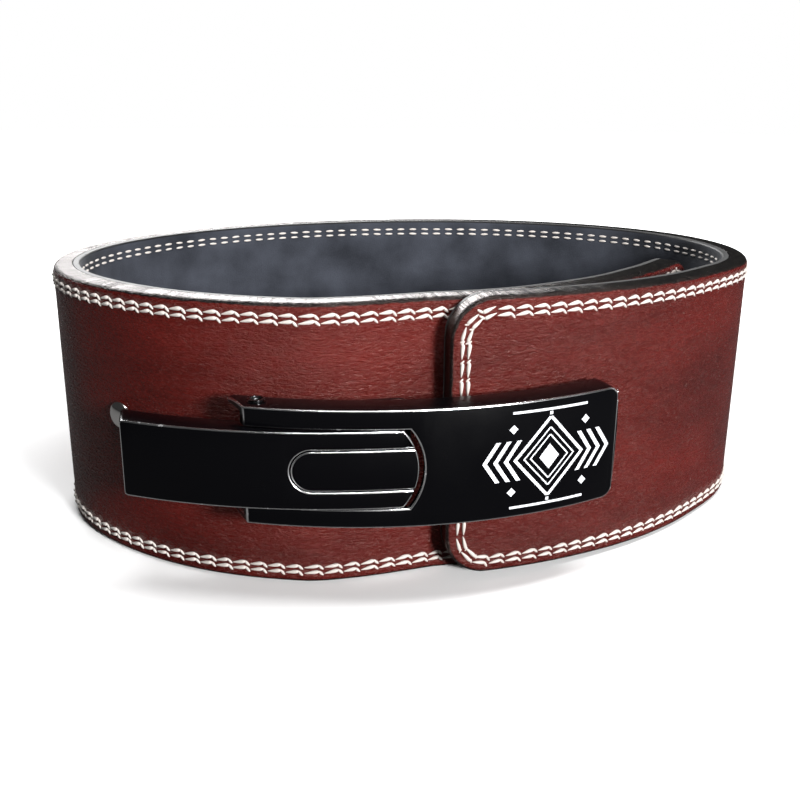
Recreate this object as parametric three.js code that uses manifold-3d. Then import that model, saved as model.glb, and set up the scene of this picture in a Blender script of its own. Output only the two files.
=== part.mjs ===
// A weightlifting belt of thick leather, closed by an over-centre steel lever.
// Millimetres, +Z up. The belt stands on its lower edge with the lever facing -Y.
// Plan places are measured from the middle of the leather loop until the whole belt is centred at the end.
import * as THREE from 'three';
import { mergeVertices } from 'three/addons/utils/BufferGeometryUtils.js';
import Module from 'manifold-3d';

const wasm = await Module();
wasm.setup();

// Leather strap
const loopHalfWidth = 140.7;
const loopHalfDepth = 98.4;
const strapWidth = 100;
const strapThickness = 10;
const liningThickness = 2.6;
const layerGap = 0.3;
const lapClearance = 0.9;
const endCornerRadius = 15;
const outerEdgeRadius = 2;
const liningEdgeRadius = 1;
const outerEndLift = 2;
const stationSpacing = 8;

// How the strap lies: the turn is counted from the middle of the front, first to the right.
// out is in strap thicknesses, under in laps (a strap and its clearance), lift in outer end lifts.
const lay = [
  { turn: -0.0085, out: 0.37, under: 0, lift: 1 },
  { turn: 0.02, out: 0.34, under: 0, lift: 0.98 },
  { turn: 0.06, out: 0.2, under: 0, lift: 0.75 },
  { turn: 0.13, out: 0.08, under: 0, lift: 0.3 },
  { turn: 0.195, out: 0.42, under: 0, lift: 0 },
  { turn: 0.27, out: 0.2, under: 0, lift: 0 },
  { turn: 0.35, out: 0, under: 0, lift: 0 },
  { turn: 0.82, out: 0, under: 0, lift: 0 },
  { turn: 0.9, out: 0.24, under: 0, lift: 0 },
  { turn: 0.934, out: 0.3, under: 0.03, lift: 0 },
  { turn: 0.955, out: 0.34, under: 0.36, lift: 0 },
  { turn: 0.975, out: 0.36, under: 0.76, lift: 0 },
  { turn: 0.992, out: 0.37, under: 1, lift: 0 },
  { turn: 1.02, out: 0.24, under: 1, lift: 0 },
  { turn: 1.054, out: -0.15, under: 1, lift: 0 },
  { turn: 1.08, out: -0.43, under: 1, lift: 0 },
  { turn: 1.113, out: -0.82, under: 1, lift: 0 },
  { turn: 1.15, out: -0.97, under: 1, lift: 0 },
  { turn: 1.185, out: -0.78, under: 1, lift: 0 },
];

// Lever as a whole
const leverMiddleHeight = 52;
const sheet = 2.5;
const pivotDepth = 7.2;
const hingeX = -29;
const linkX = -71;
const pinRadius = 2.2;
const pinHeadRadius = 3;
const pinHeadHeight = 0.5;
const runningGap = 0.3;
const lobeRadius = 5;

// Hook plate
const plateArcRadius = 154.4;
const plateArcX = -12.4;
const plateLeft = -75.7;
const plateLeftRake = 0.37;
const plateRight = 49;
const plateHeight = 39.5;
const plateDepth = 11.5;
const plateCornerRadius = 4;
const plateSeatGap = 4.7;
const windowEndGap = 1.7;
const prongX = 40;
const prongSpacing = 22;
const prongRadius = 2.7;
const prongHoleRadius = 4.6;
const prongReach = 0.85;

// Handle
const handleArcRadius = 176;
const handleArcX = -19.8;
const handleLeft = -114;
const handleRight = -22;
const handleHeight = 26;
const handleDepth = 10;
const handleCornerRadius = 2.5;
const handleEndRadius = 19.5;
const slotGap = 0.4;

// Base under the lever
const riserLeft = -62;
const riserHeight = 13.3;
const riserWall = 2.2;
const footMargin = 3;
const footHeight = 30;
const footCornerRadius = 4;
const screwSpacing = 20;
const screwRadius = 2.4;
const screwHeadRadius = 5.5;
const screwHeadHeight = 1.6;
const screwSlotWidth = 1.2;
const screwSlotDepth = 0.8;

// Rivet beside the handle's free end
const rivetTurn = -0.1542;
const rivetMiddleHeight = 54;
const rivetCapRadius = 5;
const rivetCapHeight = 2.2;
const rivetStemRadius = 1.8;
const rivetBackHeight = 1.2;

const roundSides = 20;
const arcSteps = 18;

const blackSteel = new THREE.MeshStandardMaterial({ color: 0x101012, roughness: 0.32, metalness: 0.6 });
const oxbloodLeather = new THREE.MeshStandardMaterial({ color: 0x4e1512, roughness: 0.45, metalness: 0 });
const slateSuede = new THREE.MeshStandardMaterial({ color: 0x3a3d44, roughness: 0.9, metalness: 0 });
const brightNickel = new THREE.MeshStandardMaterial({ color: 0xd8d6d4, roughness: 0.18, metalness: 1 });
const plainSteel = new THREE.MeshStandardMaterial({ color: 0x77787a, roughness: 0.35, metalness: 1 });

// Smooth reading of one column of the lay, never past its neighbouring rows
function slopeAt(row, column) {
  if (row === 0 || row === lay.length - 1) return 0;
  const rise = (from) => (lay[from + 1][column] - lay[from][column]) / (lay[from + 1].turn - lay[from].turn);
  const before = rise(row - 1);
  const after = rise(row);
  return before * after > 0 ? (2 * before * after) / (before + after) : 0;
}

function layValue(column, turn) {
  let row = 0;
  while (row < lay.length - 2 && lay[row + 1].turn < turn) row += 1;
  const run = lay[row + 1].turn - lay[row].turn;
  const t = THREE.MathUtils.clamp((turn - lay[row].turn) / run, 0, 1);
  const from = (2 * t ** 3 - 3 * t ** 2 + 1) * lay[row][column] + (t ** 3 - 2 * t ** 2 + t) * run * slopeAt(row, column);
  const to = (3 * t ** 2 - 2 * t ** 3) * lay[row + 1][column] + (t ** 3 - t ** 2) * run * slopeAt(row + 1, column);
  return from + to;
}

// Middle of the strap's thickness in plan, and the frame of the strap there
function strapMiddle(turn) {
  const angle = turn * 2 * Math.PI;
  const halfWidth = loopHalfWidth - strapThickness / 2;
  const halfDepth = loopHalfDepth - strapThickness / 2;
  const middle = new THREE.Vector2(halfWidth * Math.sin(angle), -halfDepth * Math.cos(angle));
  const outward = new THREE.Vector2(halfDepth * Math.sin(angle), -halfWidth * Math.cos(angle)).normalize();
  const set = layValue('out', turn) * strapThickness - layValue('under', turn) * (strapThickness + lapClearance);
  return middle.addScaledVector(outward, set);
}

function strapFrame(turn) {
  const step = 0.001;
  const along = strapMiddle(turn + step).sub(strapMiddle(turn - step)).normalize();
  return { middle: strapMiddle(turn), outward: new THREE.Vector2(along.y, -along.x) };
}

// The strap's outer face where it crosses a plan X: the nearest turn is found by halving
function turnAtX(x, low, high) {
  let from = low;
  let to = high;
  for (let halving = 0; halving < 40; halving += 1) {
    const middle = (from + to) / 2;
    const { middle: at, outward } = strapFrame(middle);
    if (at.x + outward.x * strapThickness / 2 < x) from = middle;
    else to = middle;
  }
  return (from + to) / 2;
}

function faceY(turn, set) {
  const { middle, outward } = strapFrame(turn);
  return middle.y + outward.y * set;
}

// Length along the strap, and the turn at a length
const firstTurn = lay[0].turn;
const lastTurn = lay[lay.length - 1].turn;
const lengthSamples = 900;
const lengths = [0];
for (let sample = 1; sample <= lengthSamples; sample += 1) {
  const at = (count) => strapMiddle(THREE.MathUtils.lerp(firstTurn, lastTurn, count / lengthSamples));
  lengths.push(lengths[sample - 1] + at(sample).distanceTo(at(sample - 1)));
}
const strapLength = lengths[lengthSamples];

function turnAtLength(length) {
  let sample = 1;
  while (sample < lengthSamples && lengths[sample] < length) sample += 1;
  const share = (length - lengths[sample - 1]) / (lengths[sample] - lengths[sample - 1]);
  return THREE.MathUtils.lerp(firstTurn, lastTurn, (sample - 1 + share) / lengthSamples);
}

// How far a corner of this radius has fallen back at a distance from the end
function cornerDrop(distance, radius) {
  if (distance >= radius) return 0;
  return radius - Math.sqrt(radius ** 2 - (radius - distance) ** 2);
}

function endDistances() {
  const distances = [];
  for (const [radius, steps] of [[outerEdgeRadius, 3], [endCornerRadius, 6]]) {
    for (let step = 0; step <= steps; step += 1) {
      distances.push(radius * (1 - Math.cos(step * Math.PI / 2 / steps)));
    }
  }
  distances.sort((a, b) => a - b);
  return distances.filter((distance, i) => i === 0 || distance - distances[i - 1] > 0.15);
}

function strapStations() {
  const ends = endDistances();
  const open = strapLength - 2 * endCornerRadius;
  const steps = Math.round(open / stationSpacing);
  const between = Array.from({ length: steps - 1 }, (_, i) => endCornerRadius + open * (i + 1) / steps);
  return [...ends, ...between, ...ends.map((distance) => strapLength - distance).reverse()];
}

// A closed skin through rings of equal count, with a fan over each end
function loft(rings) {
  const count = rings[0].length;
  const last = (rings.length - 1) * count;
  const index = [];
  for (let start = 0; start < last; start += count) {
    for (let i = 0; i < count; i += 1) {
      const next = (i + 1) % count;
      index.push(start + i, start + next, start + next + count);
      index.push(start + i, start + next + count, start + i + count);
    }
  }
  for (let i = 1; i + 1 < count; i += 1) {
    index.push(0, i + 1, i);
    index.push(last, last + i, last + i + 1);
  }
  const geometry = new THREE.BufferGeometry();
  geometry.setAttribute('position', new THREE.Float32BufferAttribute(rings.flat().flatMap((p) => p.toArray()), 3));
  geometry.setIndex(index);
  return geometry;
}

// One layer of the strap between two sets from its middle, with its far edges rounded
function strapLayer(nearSet, farSet, edgeRadius) {
  const side = Math.sign(farSet - nearSet);
  const rings = strapStations().map((length) => {
    const turn = turnAtLength(length);
    const { middle, outward } = strapFrame(turn);
    const toEnd = Math.min(length, strapLength - length);
    const inset = cornerDrop(toEnd, endCornerRadius);
    const bottom = layValue('lift', turn) * outerEndLift + inset;
    const top = bottom + strapWidth - 2 * inset;
    const far = farSet - side * cornerDrop(toEnd, edgeRadius);
    const place = (set, height) => new THREE.Vector3(middle.x + outward.x * set, middle.y + outward.y * set, height);
    const ring = [place(nearSet, bottom)];
    for (let step = 0; step <= 3; step += 1) {
      const angle = step * Math.PI / 6;
      const set = far - side * edgeRadius * (1 - Math.sin(angle));
      ring.push(place(set, bottom + edgeRadius * (1 - Math.cos(angle))));
    }
    for (let step = 3; step >= 0; step -= 1) {
      const angle = step * Math.PI / 6;
      const set = far - side * edgeRadius * (1 - Math.sin(angle));
      ring.push(place(set, top - edgeRadius * (1 - Math.cos(angle))));
    }
    ring.push(place(nearSet, top));
    return side > 0 ? ring.reverse() : ring;
  });
  return loft(rings);
}

// Solids for cutting and joining
function solidOf(geometry) {
  const bare = geometry.clone();
  bare.deleteAttribute('normal');
  bare.deleteAttribute('uv');
  const merged = mergeVertices(bare, 1e-4);
  const vertProperties = new Float32Array(merged.attributes.position.array);
  const triVerts = new Uint32Array(merged.index.array);
  return new wasm.Manifold(new wasm.Mesh({ numProp: 3, vertProperties, triVerts }));
}

function geometryOf(solid) {
  const mesh = solid.getMesh();
  const geometry = new THREE.BufferGeometry();
  geometry.setAttribute('position', new THREE.Float32BufferAttribute(mesh.vertProperties, 3));
  geometry.setIndex(Array.from(mesh.triVerts));
  geometry.computeVertexNormals();
  return geometry;
}

function upright(radius, x, y, bottom, top) {
  const cylinder = new THREE.CylinderGeometry(radius, radius, top - bottom, roundSides);
  cylinder.rotateX(Math.PI / 2);
  cylinder.translate(x, y, (bottom + top) / 2);
  return solidOf(cylinder);
}

function level(radius, x, height, front, back) {
  const cylinder = new THREE.CylinderGeometry(radius, radius, back - front, roundSides);
  cylinder.translate(x, (front + back) / 2, height);
  return solidOf(cylinder);
}

// A plan outline raised between two heights, and a front outline run back between two depths
function raised(shape, bottom, top) {
  const geometry = new THREE.ExtrudeGeometry(shape, {
    depth: top - bottom, bevelEnabled: false, curveSegments: arcSteps,
  });
  geometry.translate(0, 0, bottom);
  return solidOf(geometry);
}

function runBack(shape, front, back) {
  const geometry = new THREE.ExtrudeGeometry(shape, {
    depth: back - front, bevelEnabled: false, curveSegments: arcSteps / 2,
  });
  geometry.rotateX(Math.PI / 2);
  geometry.translate(0, back, 0);
  return solidOf(geometry);
}

function roundedRectangle(left, right, bottom, top, leftRadius, rightRadius) {
  const shape = new THREE.Shape();
  shape.absarc(right - rightRadius, bottom + rightRadius, rightRadius, -Math.PI / 2, 0, false);
  shape.absarc(right - rightRadius, top - rightRadius, rightRadius, 0, Math.PI / 2, false);
  shape.absarc(left + leftRadius, top - leftRadius, leftRadius, Math.PI / 2, Math.PI, false);
  shape.absarc(left + leftRadius, bottom + leftRadius, leftRadius, Math.PI, 1.5 * Math.PI, false);
  return shape;
}

// Places that the lever takes from the strap under it
const outerFace = strapThickness / 2;
const prongTurn = turnAtX(prongX, 0, 0.15);
const plateBackY = faceY(prongTurn, outerFace) - plateSeatGap;
const plateBackRadius = plateArcRadius - plateDepth;
const plateArcY = plateBackY + Math.sqrt(plateBackRadius ** 2 - (prongX - plateArcX) ** 2);
const plateArc = { x: plateArcX, y: plateArcY, radius: plateArcRadius };
const hingeFrontY = arcY(plateArc, hingeX, 0);
const handleArc = {
  x: handleArcX,
  y: hingeFrontY + Math.sqrt(handleArcRadius ** 2 - (hingeX - handleArcX) ** 2),
  radius: handleArcRadius,
};
const hinge = new THREE.Vector2(hingeX, arcY(plateArc, hingeX, pivotDepth));
const link = new THREE.Vector2(linkX, arcY(plateArc, linkX, pivotDepth));
const screwX = (riserLeft + handleRight) / 2;
const footLeft = riserLeft - footMargin;
const footRight = handleRight + footMargin;
const footBackY = Math.min(...Array.from({ length: 9 }, (_, i) => {
  const x = THREE.MathUtils.lerp(footLeft, footRight, i / 8);
  return faceY(turnAtX(x, 0.8, 1), outerFace);
})) - layerGap;
const beyond = 60;

function arcY(arc, x, depth) {
  return arc.y - Math.sqrt((arc.radius - depth) ** 2 - (x - arc.x) ** 2);
}

// A band of the lever's curved front in plan, between two depths. Its right end is cut square to
// the arc, and its left end straight back, or raked outwards by so much for each millimetre of depth.
function arcBand(arc, left, right, depth, backDepth, rake = 0) {
  const rightAngle = Math.asin((right - arc.x) / arc.radius) - Math.PI / 2;
  const leftAngle = (inset) => Math.asin((left - rake * inset - arc.x) / (arc.radius - inset)) - Math.PI / 2;
  const shape = new THREE.Shape();
  shape.absarc(arc.x, arc.y, arc.radius - depth, leftAngle(depth), rightAngle, false);
  shape.absarc(arc.x, arc.y, arc.radius - backDepth, rightAngle, leftAngle(backDepth), true);
  shape.closePath();
  return shape;
}

// A curved front with a flange along its top and bottom, walled at the ends asked for
function curvedTray(arc, left, right, height, depth, wallLeft, wallRight, rake = 0) {
  const bottom = leverMiddleHeight - height / 2;
  const top = leverMiddleHeight + height / 2;
  const block = raised(arcBand(arc, left, right, 0, depth, rake), bottom, top);
  const hollow = arcBand(arc, left + wallLeft, right - wallRight, sheet, depth + sheet, rake);
  return block.subtract(raised(hollow, bottom + sheet, top - sheet));
}

// Hook plate: a window for the handle at its left, two prongs at its right
function hookPlate() {
  const half = plateHeight / 2;
  const tray = curvedTray(
    plateArc, plateLeft, plateRight, plateHeight, plateDepth, -sheet, sheet, plateLeftRake,
  );
  const lobes = new THREE.Shape().absarc(link.x, link.y, lobeRadius, 0, 2 * Math.PI, false);
  const bottom = leverMiddleHeight - half;
  const top = leverMiddleHeight + half;
  const outline = roundedRectangle(
    plateLeft - lobeRadius, plateRight, bottom, top, plateCornerRadius, plateCornerRadius,
  );
  const windowHalf = handleHeight / 2 + runningGap;
  const windowRadius = handleEndRadius + windowEndGap;
  const windowMiddle = handleRight - handleEndRadius;
  const cornerAngle = Math.asin(windowHalf / windowRadius);
  const opening = new THREE.Shape();
  opening.absarc(windowMiddle, leverMiddleHeight, windowRadius, -cornerAngle, cornerAngle, false);
  opening.lineTo(plateLeft - beyond, leverMiddleHeight + windowHalf);
  opening.lineTo(plateLeft - beyond, leverMiddleHeight - windowHalf);
  const front = arcY(plateArc, plateArcX, 0) - sheet;
  const prongBack = faceY(prongTurn, outerFace - prongReach * strapThickness);
  let plate = tray
    .add(raised(lobes, bottom, bottom + sheet))
    .add(raised(lobes, top - sheet, top))
    .intersect(runBack(outline, front, front + beyond))
    .subtract(runBack(opening, front, front + beyond))
    .subtract(upright(pinRadius + runningGap, link.x, link.y, bottom - sheet, top + sheet));
  for (const side of [-1, 1]) {
    const height = leverMiddleHeight + side * prongSpacing / 2;
    plate = plate.add(level(prongRadius, prongX, height, arcY(plateArc, prongX, sheet / 2), prongBack));
  }
  return plate;
}

// Handle: a curved tray forked round the base's riser at its hinge
function leverHandle() {
  const half = handleHeight / 2;
  const bottom = leverMiddleHeight - half;
  const top = leverMiddleHeight + half;
  const tray = curvedTray(handleArc, handleLeft, handleRight, handleHeight, handleDepth, sheet, -sheet);
  const lobes = new THREE.Shape().absarc(link.x, link.y, lobeRadius, 0, 2 * Math.PI, false);
  const front = arcY(handleArc, handleArcX, 0) - sheet;
  const slotHalf = riserHeight / 2 + slotGap;
  const slot = roundedRectangle(
    riserLeft - slotGap, handleRight + beyond, leverMiddleHeight - slotHalf, leverMiddleHeight + slotHalf,
    slotHalf - 0.01, slotHalf - 0.01,
  );
  return tray
    .add(raised(lobes, bottom, bottom + sheet))
    .add(raised(lobes, top - sheet, top))
    .intersect(runBack(handleOutline(half), front, front + beyond))
    .subtract(runBack(slot, front, front + beyond))
    .subtract(upright(pinRadius + runningGap, hinge.x, hinge.y, bottom - sheet, top + sheet))
    .subtract(upright(pinRadius + runningGap, link.x, link.y, bottom - sheet, top + sheet));
}

function handleOutline(half) {
  const endAngle = Math.asin(half / handleEndRadius);
  const shape = new THREE.Shape();
  const left = handleLeft - 1;
  const low = leverMiddleHeight - half;
  const high = leverMiddleHeight + half;
  shape.absarc(handleRight - handleEndRadius, leverMiddleHeight, handleEndRadius, -endAngle, endAngle, false);
  shape.absarc(left + handleCornerRadius, high - handleCornerRadius, handleCornerRadius, Math.PI / 2, Math.PI, false);
  shape.absarc(left + handleCornerRadius, low + handleCornerRadius, handleCornerRadius, Math.PI, 1.5 * Math.PI, false);
  return shape;
}

// Base: a foot on the leather and a hollow riser that stands up into the handle's fork
function riserOutline(inset) {
  const half = riserHeight / 2 - inset;
  const endRadius = handleEndRadius - inset;
  const endAngle = Math.asin(half / endRadius);
  const shape = new THREE.Shape();
  shape.absarc(handleRight - handleEndRadius, leverMiddleHeight, endRadius, -endAngle, endAngle, false);
  shape.absarc(riserLeft + riserHeight / 2, leverMiddleHeight, half, Math.PI / 2, 1.5 * Math.PI, false);
  return shape;
}

function leverBase() {
  const low = leverMiddleHeight - footHeight / 2;
  const foot = roundedRectangle(
    footLeft, footRight, low, low + footHeight, footCornerRadius, footCornerRadius,
  );
  const front = arcY(handleArc, handleArcX, 0) - sheet;
  const frontBand = (depth) => raised(
    arcBand(handleArc, footLeft, footRight, depth, handleArcRadius - handleArc.y + footBackY),
    0, strapWidth,
  );
  const riser = runBack(riserOutline(0), front, footBackY).intersect(frontBand(0));
  const hollow = runBack(riserOutline(riserWall), front, footBackY + sheet).intersect(frontBand(riserWall));
  const pinHole = upright(pinRadius + runningGap, hinge.x, hinge.y, low, low + footHeight);
  let base = runBack(foot, footBackY - sheet, footBackY)
    .add(riser)
    .subtract(hollow)
    .subtract(pinHole);
  for (const side of [-1, 1]) {
    const height = leverMiddleHeight + side * screwSpacing / 2;
    base = base.subtract(level(screwRadius + runningGap, screwX, height, footBackY - 2 * sheet, footBackY + sheet));
  }
  return base;
}

// Round pin of the lever, with a low head at each end that covers its hole
function leverPin(place, bottom, top) {
  return upright(pinRadius, place.x, place.y, bottom - pinHeadHeight / 2, top + pinHeadHeight / 2)
    .add(upright(pinHeadRadius, place.x, place.y, bottom - pinHeadHeight, bottom))
    .add(upright(pinHeadRadius, place.x, place.y, top, top + pinHeadHeight));
}

// Slotted screw that holds the base from inside the belt
const screwTurn = turnAtX(screwX, 0.8, 1);
const screwSeatY = faceY(screwTurn, -strapThickness / 2) + layerGap;

function baseScrew(height) {
  const backY = screwSeatY + screwHeadHeight;
  const slot = new THREE.BoxGeometry(3 * screwHeadRadius, 2 * screwSlotDepth, screwSlotWidth);
  slot.translate(screwX, backY, height);
  return level(screwHeadRadius, screwX, height, screwSeatY, backY)
    .add(level(screwRadius, screwX, height, footBackY - sheet, screwSeatY + screwHeadHeight / 4))
    .subtract(solidOf(slot));
}

// Rivet through both layers: a domed cap outside, a stem and a flat back inside
const rivetFrame = strapFrame(1 + rivetTurn);

function rivetTool(geometry) {
  const turn = Math.atan2(rivetFrame.outward.y, rivetFrame.outward.x);
  geometry.rotateZ(-Math.PI / 2);
  geometry.rotateZ(turn);
  geometry.translate(rivetFrame.middle.x, rivetFrame.middle.y, rivetMiddleHeight);
  return solidOf(geometry);
}

function sideRivet() {
  const seat = strapThickness / 2 + layerGap;
  const profile = [
    new THREE.Vector2(0, -seat - rivetBackHeight),
    new THREE.Vector2(rivetCapRadius, -seat - rivetBackHeight),
    new THREE.Vector2(rivetCapRadius, -seat),
    new THREE.Vector2(rivetStemRadius, -seat),
    new THREE.Vector2(rivetStemRadius, seat),
    new THREE.Vector2(rivetCapRadius, seat),
  ];
  for (const angle of [20, 45, 70]) {
    const radians = THREE.MathUtils.degToRad(angle);
    profile.push(new THREE.Vector2(
      rivetCapRadius * Math.cos(radians), seat + rivetCapHeight * Math.sin(radians),
    ));
  }
  profile.push(new THREE.Vector2(0, seat + rivetCapHeight));
  return rivetTool(new THREE.LatheGeometry(profile, roundSides));
}

// Holes that the prongs, the screws and the rivet need in the leather
function withHoles(layer) {
  let leather = solidOf(layer);
  const deep = strapThickness + layerGap;
  for (const side of [-1, 1]) {
    const prongHeight = leverMiddleHeight + side * prongSpacing / 2;
    const prongY = faceY(prongTurn, 0);
    leather = leather.subtract(level(prongHoleRadius, prongX, prongHeight, prongY - deep, prongY + deep * 0.7));
    const screwHeight = leverMiddleHeight + side * screwSpacing / 2;
    const screwY = faceY(screwTurn, 0);
    leather = leather.subtract(level(screwRadius + runningGap, screwX, screwHeight, screwY - deep, screwY + deep));
  }
  return leather.subtract(rivetTool(new THREE.CylinderGeometry(
    rivetStemRadius + runningGap, rivetStemRadius + runningGap, 2 * deep, roundSides,
  )));
}

// The belt put together
const belt = new THREE.Group();

function addPiece(name, solid, material) {
  const piece = new THREE.Mesh(geometryOf(solid), material);
  piece.name = name;
  belt.add(piece);
}

const liningFace = -strapThickness / 2 + liningThickness;
addPiece('strap_hide', withHoles(strapLayer(liningFace + layerGap, strapThickness / 2, outerEdgeRadius)), oxbloodLeather);
addPiece('strap_lining', withHoles(strapLayer(liningFace, -strapThickness / 2, liningEdgeRadius)), slateSuede);
addPiece('lever_base', leverBase(), blackSteel);
addPiece('base_screw_lower', baseScrew(leverMiddleHeight - screwSpacing / 2), plainSteel);
addPiece('base_screw_upper', baseScrew(leverMiddleHeight + screwSpacing / 2), plainSteel);
const handleHalf = handleHeight / 2 + runningGap;
addPiece('hinge_pin', leverPin(hinge, leverMiddleHeight - handleHalf, leverMiddleHeight + handleHalf), blackSteel);
addPiece('lever_handle', leverHandle(), blackSteel);
const plateHalf = plateHeight / 2 + runningGap;
addPiece('link_pin', leverPin(link, leverMiddleHeight - plateHalf, leverMiddleHeight + plateHalf), blackSteel);
addPiece('hook_plate', hookPlate(), blackSteel);
addPiece('side_rivet', sideRivet(), brightNickel);

// Origin at the middle of the belt's footprint, on the surface that it stands on
const bounds = new THREE.Box3().setFromObject(belt);
const centre = bounds.getCenter(new THREE.Vector3());
belt.position.set(-centre.x, -centre.y, -bounds.min.z);

export default belt;
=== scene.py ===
import math
import random

import bmesh
import bpy
import numpy as np
from mathutils import Matrix, Vector


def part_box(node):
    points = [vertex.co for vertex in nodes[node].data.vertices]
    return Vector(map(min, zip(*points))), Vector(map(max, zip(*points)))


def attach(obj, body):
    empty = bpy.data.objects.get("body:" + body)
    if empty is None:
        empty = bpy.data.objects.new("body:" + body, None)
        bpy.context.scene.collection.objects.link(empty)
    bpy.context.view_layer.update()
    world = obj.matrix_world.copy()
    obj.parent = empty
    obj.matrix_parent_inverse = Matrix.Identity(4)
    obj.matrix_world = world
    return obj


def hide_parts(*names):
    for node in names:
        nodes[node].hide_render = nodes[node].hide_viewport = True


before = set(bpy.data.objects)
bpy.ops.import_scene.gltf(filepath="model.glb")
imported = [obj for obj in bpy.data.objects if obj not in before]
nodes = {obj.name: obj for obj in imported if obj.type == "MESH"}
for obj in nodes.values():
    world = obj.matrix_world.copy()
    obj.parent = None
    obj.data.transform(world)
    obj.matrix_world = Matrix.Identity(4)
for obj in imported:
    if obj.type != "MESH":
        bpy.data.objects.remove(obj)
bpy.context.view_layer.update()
random.seed(7)

# Photographer's view
# The belt is seen from the front left and a little above, through a 45 mm lens,
# with the lever turned 12 degrees away from the lens.
VIEW_PLACE = Vector((-0.0909, -0.39477, 0.16985))
VIEW_AZIMUTH = math.radians(12.1)
VIEW_PITCH = math.radians(18.0)
VIEW_ROLL = math.radians(0.47)

lens = bpy.data.cameras.new("view")
lens.lens = 45
lens.sensor_width = 36
lens.clip_start = 0.01
lens.clip_end = 50
view = bpy.data.objects.new("view", lens)
bpy.context.collection.objects.link(view)
forward = Vector((
    math.sin(VIEW_AZIMUTH) * math.cos(VIEW_PITCH),
    math.cos(VIEW_AZIMUTH) * math.cos(VIEW_PITCH),
    -math.sin(VIEW_PITCH),
))
level = Vector((math.cos(VIEW_AZIMUTH), -math.sin(VIEW_AZIMUTH), 0))
upward = level.cross(forward)
right = math.cos(VIEW_ROLL) * level + math.sin(VIEW_ROLL) * upward
top = -math.sin(VIEW_ROLL) * level + math.cos(VIEW_ROLL) * upward
view.matrix_world = Matrix((
    (right.x, top.x, -forward.x, VIEW_PLACE.x),
    (right.y, top.y, -forward.y, VIEW_PLACE.y),
    (right.z, top.z, -forward.z, VIEW_PLACE.z),
    (0, 0, 0, 1),
))
bpy.context.scene.camera = view
bpy.context.scene.view_settings.view_transform = "Standard"


# Studio
# A white table under a white surround, with soft boxes in front, overhead, at the right and
# behind, as for a shop picture.
TABLE_RADIUS = 3.0
TABLE_FADE = (0.22, 0.62)
SURROUND_GLOW = 0.03
SOFT_BOXES = (
    # name, place, width, height, power in watts
    ("front_box", (0.33, -1.02, 0.34), 0.2, 0.14, 20.0),
    ("top_box", (0.1, -0.42, 1.2), 0.9, 0.16, 12.0),
    ("right_box", (1.3, -0.1, 0.5), 0.35, 0.7, 0.6),
    ("back_box", (-0.2, 1.25, 0.7), 1.0, 0.5, 24.0),
)


def add_node(tree, kind, settings=None, values=None):
    """One shader node, with its own settings and the values of its unlinked inputs."""
    made = tree.nodes.new(kind)
    for name, setting in (settings or {}).items():
        setattr(made, name, setting)
    for name, value in (values or {}).items():
        made.inputs[name].default_value = value
    return made


def new_finish(name, color, roughness, metallic=0.0, **sockets):
    """A material with one Principled shader, whose plain values are set on its own sockets."""
    finish = bpy.data.materials.new(name)
    finish.use_nodes = True
    shader = finish.node_tree.nodes["Principled BSDF"]
    shader.inputs["Base Color"].default_value = (*color, 1)
    shader.inputs["Roughness"].default_value = roughness
    shader.inputs["Metallic"].default_value = metallic
    for socket, value in sockets.items():
        shader.inputs[socket.replace("_", " ")].default_value = value
    return finish, finish.node_tree, shader


def shown(name, bm, *finishes):
    """A new object from a finished bmesh, smooth apart from its true edges."""
    mesh = bpy.data.meshes.new(name)
    bm.to_mesh(mesh)
    bm.free()
    mesh.polygons.foreach_set("use_smooth", [True] * len(mesh.polygons))
    mesh.set_sharp_from_angle(angle=math.radians(42))
    for finish in finishes:
        mesh.materials.append(finish)
    piece = bpy.data.objects.new(name, mesh)
    bpy.context.collection.objects.link(piece)
    return piece


table_bm = bmesh.new()
bmesh.ops.create_circle(table_bm, cap_ends=True, segments=64, radius=TABLE_RADIUS)
table_finish, tree, shader = new_finish("white_table", (0.8, 0.8, 0.8), 0.8, Specular_IOR_Level=0.0)
seen = add_node(tree, "ShaderNodeLightPath")
lift = add_node(
    tree, "ShaderNodeMix", {"data_type": "RGBA"}, {6: (0.11, 0.11, 0.11, 1), 7: (0.95, 0.95, 0.95, 1)}
)
tree.links.new(seen.outputs["Is Camera Ray"], lift.inputs[0])
tree.links.new(lift.outputs[2], shader.inputs["Base Color"])
table_map = add_node(tree, "ShaderNodeTexCoord")
away = add_node(tree, "ShaderNodeVectorMath", {"operation": "LENGTH"})
fade = add_node(
    tree, "ShaderNodeMapRange", {"interpolation_type": "SMOOTHSTEP"}, {1: TABLE_FADE[0], 2: TABLE_FADE[1]}
)
shine = add_node(tree, "ShaderNodeMath", {"operation": "MULTIPLY"})
tree.links.new(table_map.outputs["Object"], away.inputs[0])
tree.links.new(away.outputs["Value"], fade.inputs[0])
tree.links.new(fade.outputs[0], shine.inputs[0])
tree.links.new(seen.outputs["Is Camera Ray"], shine.inputs[1])
tree.links.new(shine.outputs[0], shader.inputs["Emission Strength"])
shader.inputs["Emission Color"].default_value = (1, 1, 1, 1)
table = shown("table", table_bm, table_finish)

for box_name, place, width, height, power in SOFT_BOXES:
    lamp = bpy.data.lights.new(box_name, "AREA")
    lamp.shape = "RECTANGLE"
    lamp.size = width
    lamp.size_y = height
    lamp.energy = power
    soft_box = bpy.data.objects.new(box_name, lamp)
    soft_box.location = place
    aim = Vector((0, 0, 0.05)) - soft_box.location
    soft_box.rotation_euler = aim.to_track_quat("-Z", "Y").to_euler()
    bpy.context.collection.objects.link(soft_box)

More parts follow.
